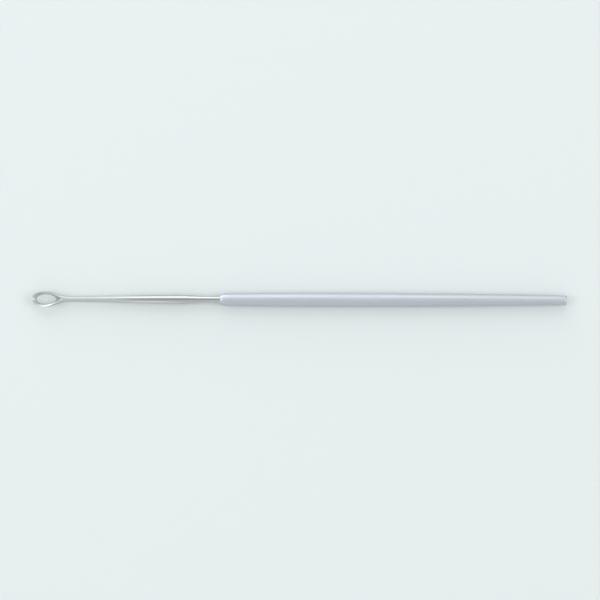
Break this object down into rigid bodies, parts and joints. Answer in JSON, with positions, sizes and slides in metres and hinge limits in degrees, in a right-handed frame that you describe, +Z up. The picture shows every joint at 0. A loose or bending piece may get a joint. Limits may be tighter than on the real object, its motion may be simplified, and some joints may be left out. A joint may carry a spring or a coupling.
{
  "type": "dermal curette",
  "caption": "Ring curette for skin work: a small sharpened oval ring on a slender polished spindle shank, seated in a long, gently bellied satin steel handle with a flat butt.",
  "frame": {"origin": "on the ground under the middle of the instrument's length", "axes": "+X along the instrument from the ring's tip towards the butt, +Y across it, +Z up, the way the ring's sharpened rim faces. The instrument's own axis is level"},
  "size_m": [0.146, 0.0042, 0.0038],
  "materials": {
    "polished_steel": "polished",
    "satin_steel": "satin"
  },
  "bodies": {
    "root": {"working_end": "polished_steel", "handle": "satin_steel"}
  },
  "joints": []
}
